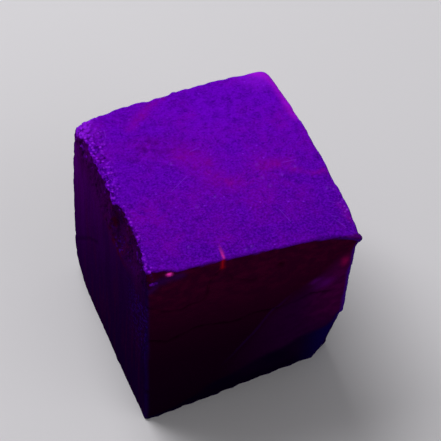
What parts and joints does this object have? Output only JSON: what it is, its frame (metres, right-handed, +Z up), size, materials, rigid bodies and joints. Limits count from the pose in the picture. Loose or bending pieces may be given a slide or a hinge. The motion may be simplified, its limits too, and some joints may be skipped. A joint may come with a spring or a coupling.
{
  "type": "ruby cube",
  "caption": "Rough cube of ruby with a frosted sawn top, a spalled upper edge, split sides and a broken lower corner, standing on its sawn base.",
  "frame": {"origin": "on the base, under the middle of the stone's box", "axes": "+Z up from the base to the sawn top, -Y towards the split front, -X towards the side with the spalled upper edge"},
  "size_m": [0.0248, 0.0272, 0.0256],
  "materials": {
    "ruby": "sawn and frosted on top, split and satin on the sides"
  },
  "bodies": {
    "root": {"ruby_cube": "ruby"}
  },
  "joints": []
}
